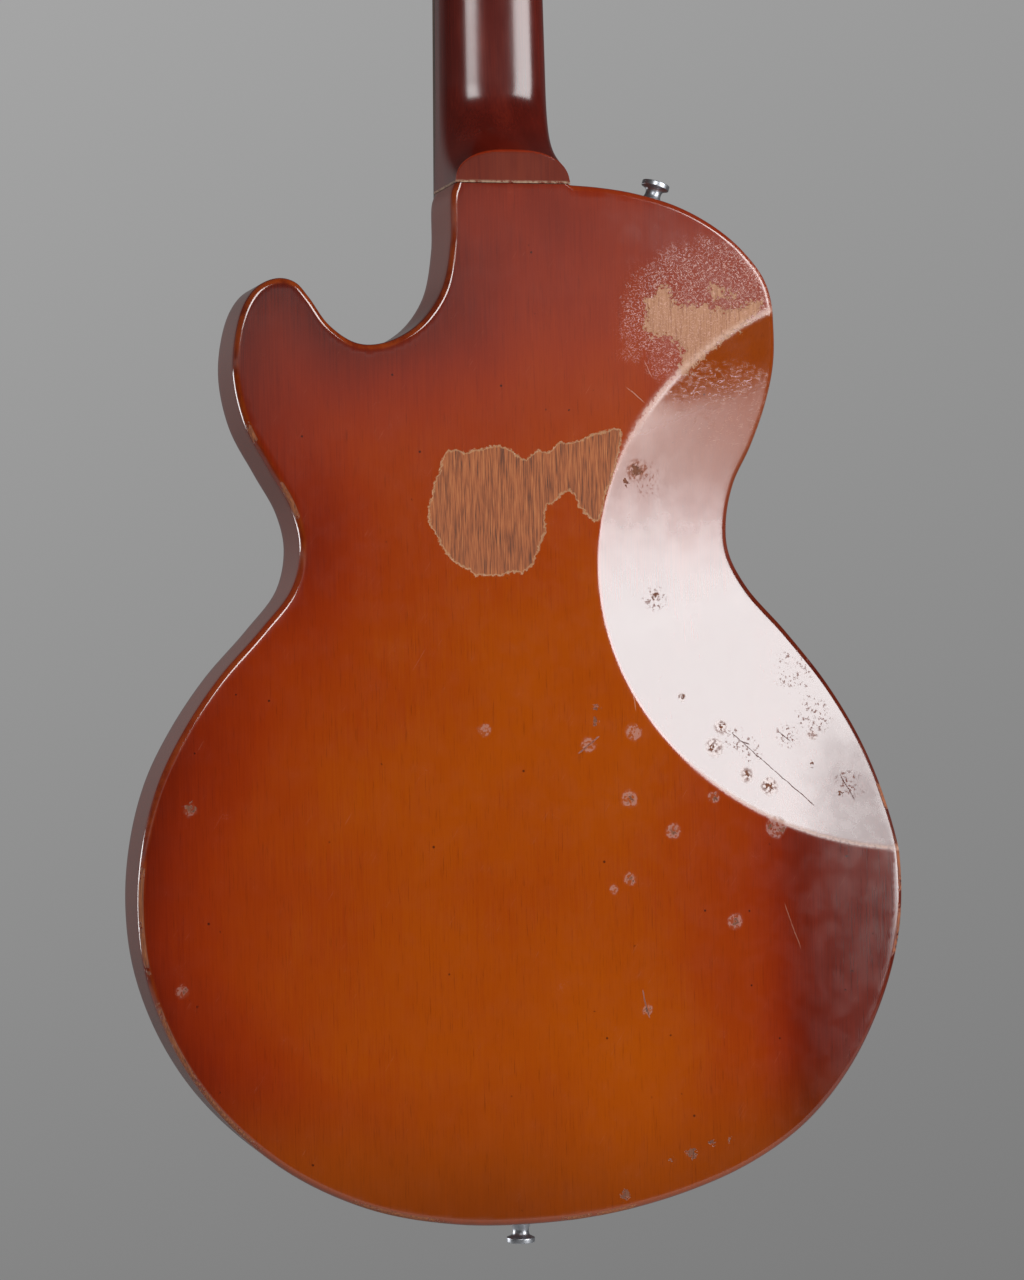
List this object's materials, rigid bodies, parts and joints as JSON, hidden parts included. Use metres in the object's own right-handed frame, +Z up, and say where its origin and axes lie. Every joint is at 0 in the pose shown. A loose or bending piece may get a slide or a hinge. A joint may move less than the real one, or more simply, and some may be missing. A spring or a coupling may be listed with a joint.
{
  "type": "electric bass guitar",
  "caption": "Short-scale electric bass guitar with a solid single-cutaway body, set neck, tilted headstock, worm-geared tuners, tray bridge, covered pickup and front controls.",
  "frame": {"origin": "middle of the nut's front edge, on the plane where the fingerboard is glued to the neck, where a wall hanger's yoke holds the neck", "axes": "+Z up the neck from body to headstock, +Y to the back of the instrument, +X to the treble side"},
  "size_m": [0.3504, 0.0802, 1.13],
  "materials": {
    "lacquered_body": "gloss sunburst lacquer",
    "lacquered_neck": "gloss dark lacquer",
    "fingerboard_wood": "satin dark wood with metal frets",
    "black_plastic": "gloss",
    "bone": "satin",
    "nickel": "aged nickel plate",
    "steel": "satin",
    "aluminium": "satin, aged",
    "brass": "satin",
    "string_steel": "wound"
  },
  "bodies": {
    "instrument": {"body": "lacquered_body", "neck": "lacquered_neck", "fingerboard": "fingerboard_wood", "nut": "bone", "truss_rod": "steel", "truss_rod_cover": "black_plastic", "headstock_veneer": "black_plastic", "shoulder_strap_button": "aluminium", "shoulder_strap_screw": "steel", "tail_strap_button": "aluminium", "tail_strap_screw": "steel", "bridge": "nickel", "bridge_stud_bass": "nickel", "bridge_stud_treble": "nickel", "stud_bushing_bass": "brass", "stud_bushing_treble": "brass", "pickup_ring": "black_plastic", "pickup_cover": "nickel", "pickup_coil": "black_plastic", "pickguard": "black_plastic", "volume_pot": "steel", "tone_pot": "steel", "output_jack": "nickel", "tuner_plate_e": "nickel", "tuner_bushing_e": "nickel", "string_e": "string_steel", "tuner_plate_a": "nickel", "tuner_bushing_a": "nickel", "string_a": "string_steel", "tuner_plate_d": "nickel", "tuner_bushing_d": "nickel", "string_d": "string_steel", "tuner_plate_g": "nickel", "tuner_bushing_g": "nickel", "string_g": "string_steel"},
    "tuner_key_e": {"tuner_key_e": "nickel"},
    "tuner_post_e": {"tuner_post_e": "nickel", "tuner_gear_e": "brass"},
    "intonation_screw_e": {"intonation_screw_e": "steel"},
    "saddle_e": {"saddle_e": "brass"},
    "tuner_key_a": {"tuner_key_a": "nickel"},
    "tuner_post_a": {"tuner_post_a": "nickel", "tuner_gear_a": "brass"},
    "intonation_screw_a": {"intonation_screw_a": "steel"},
    "saddle_a": {"saddle_a": "brass"},
    "tuner_key_d": {"tuner_key_d": "nickel"},
    "tuner_post_d": {"tuner_post_d": "nickel", "tuner_gear_d": "brass"},
    "intonation_screw_d": {"intonation_screw_d": "steel"},
    "saddle_d": {"saddle_d": "brass"},
    "tuner_key_g": {"tuner_key_g": "nickel"},
    "tuner_post_g": {"tuner_post_g": "nickel", "tuner_gear_g": "brass"},
    "intonation_screw_g": {"intonation_screw_g": "steel"},
    "saddle_g": {"saddle_g": "brass"},
    "volume_control": {"volume_knob": "black_plastic", "volume_shaft": "aluminium"},
    "tone_control": {"tone_knob": "black_plastic", "tone_shaft": "aluminium"},
    "rod_nut": {"truss_rod_nut": "brass"}
  },
  "joints": [
    {"name": "key_turn_e", "type": "hinge", "parent": "instrument", "child": "tuner_key_e", "pos_m": [-0.023, 0.03506, 0.06343], "axis": [1, 0, 0], "continuous": true},
    {"name": "post_turn_e", "type": "hinge", "parent": "instrument", "child": "tuner_post_e", "pos_m": [-0.023, 0.01258, 0.05645], "axis": [0, 0.9703, -0.2419], "continuous": true},
    {"name": "intonation_screw_turn_e", "type": "hinge", "parent": "instrument", "child": "intonation_screw_e", "pos_m": [-0.0221, -0.0083, -0.78], "axis": [0, 0, 1], "range_deg": [-3600, 3600]},
    {"name": "saddle_slide_e", "type": "slide", "parent": "instrument", "child": "saddle_e", "axis": [0, 0, 1], "range_m": [-0.005, 0.005]},
    {"name": "key_turn_a", "type": "hinge", "parent": "instrument", "child": "tuner_key_a", "pos_m": [-0.023, 0.05151, 0.12941], "axis": [1, 0, 0], "continuous": true},
    {"name": "post_turn_a", "type": "hinge", "parent": "instrument", "child": "tuner_post_a", "pos_m": [-0.023, 0.02903, 0.12244], "axis": [0, 0.9703, -0.2419], "continuous": true},
    {"name": "intonation_screw_turn_a", "type": "hinge", "parent": "instrument", "child": "intonation_screw_a", "pos_m": [-0.0041, -0.0083, -0.78], "axis": [0, 0, 1], "range_deg": [-3600, 3600]},
    {"name": "saddle_slide_a", "type": "slide", "parent": "instrument", "child": "saddle_a", "axis": [0, 0, 1], "range_m": [-0.005, 0.005]},
    {"name": "key_turn_d", "type": "hinge", "parent": "instrument", "child": "tuner_key_d", "pos_m": [0.023, 0.05151, 0.12941], "axis": [1, 0, 0], "continuous": true},
    {"name": "post_turn_d", "type": "hinge", "parent": "instrument", "child": "tuner_post_d", "pos_m": [0.023, 0.02903, 0.12244], "axis": [0, 0.9703, -0.2419], "continuous": true},
    {"name": "intonation_screw_turn_d", "type": "hinge", "parent": "instrument", "child": "intonation_screw_d", "pos_m": [0.0139, -0.0083, -0.78], "axis": [0, 0, 1], "range_deg": [-3600, 3600]},
    {"name": "saddle_slide_d", "type": "slide", "parent": "instrument", "child": "saddle_d", "axis": [0, 0, 1], "range_m": [-0.005, 0.005]},
    {"name": "key_turn_g", "type": "hinge", "parent": "instrument", "child": "tuner_key_g", "pos_m": [0.023, 0.03506, 0.06343], "axis": [1, 0, 0], "continuous": true},
    {"name": "post_turn_g", "type": "hinge", "parent": "instrument", "child": "tuner_post_g", "pos_m": [0.023, 0.01258, 0.05645], "axis": [0, 0.9703, -0.2419], "continuous": true},
    {"name": "intonation_screw_turn_g", "type": "hinge", "parent": "instrument", "child": "intonation_screw_g", "pos_m": [0.0319, -0.0083, -0.78], "axis": [0, 0, 1], "range_deg": [-3600, 3600]},
    {"name": "saddle_slide_g", "type": "slide", "parent": "instrument", "child": "saddle_g", "axis": [0, 0, 1], "range_m": [-0.005, 0.005]},
    {"name": "volume_turn", "type": "hinge", "parent": "instrument", "child": "volume_control", "pos_m": [0.10112, -0.01, -0.74601], "axis": [0, -1, 0], "range_deg": [0, 300]},
    {"name": "tone_turn", "type": "hinge", "parent": "instrument", "child": "tone_control", "pos_m": [0.12595, -0.01, -0.7857], "axis": [0, -1, 0], "range_deg": [0, 300]},
    {"name": "rod_nut_turn", "type": "hinge", "parent": "instrument", "child": "rod_nut", "pos_m": [0, 0.008, 0.016], "axis": [0, 0, 1], "range_deg": [-360, 360]}
  ],
  "couplings": [
    {"joint": "post_turn_e", "follows": "key_turn_e", "ratio": -0.05},
    {"joint": "intonation_screw_turn_e", "follows": "saddle_slide_e", "rad_per_m": -12566},
    {"joint": "post_turn_a", "follows": "key_turn_a", "ratio": -0.05},
    {"joint": "intonation_screw_turn_a", "follows": "saddle_slide_a", "rad_per_m": -12566},
    {"joint": "post_turn_d", "follows": "key_turn_d", "ratio": -0.05},
    {"joint": "intonation_screw_turn_d", "follows": "saddle_slide_d", "rad_per_m": -12566},
    {"joint": "post_turn_g", "follows": "key_turn_g", "ratio": -0.05},
    {"joint": "intonation_screw_turn_g", "follows": "saddle_slide_g", "rad_per_m": -12566}
  ]
}
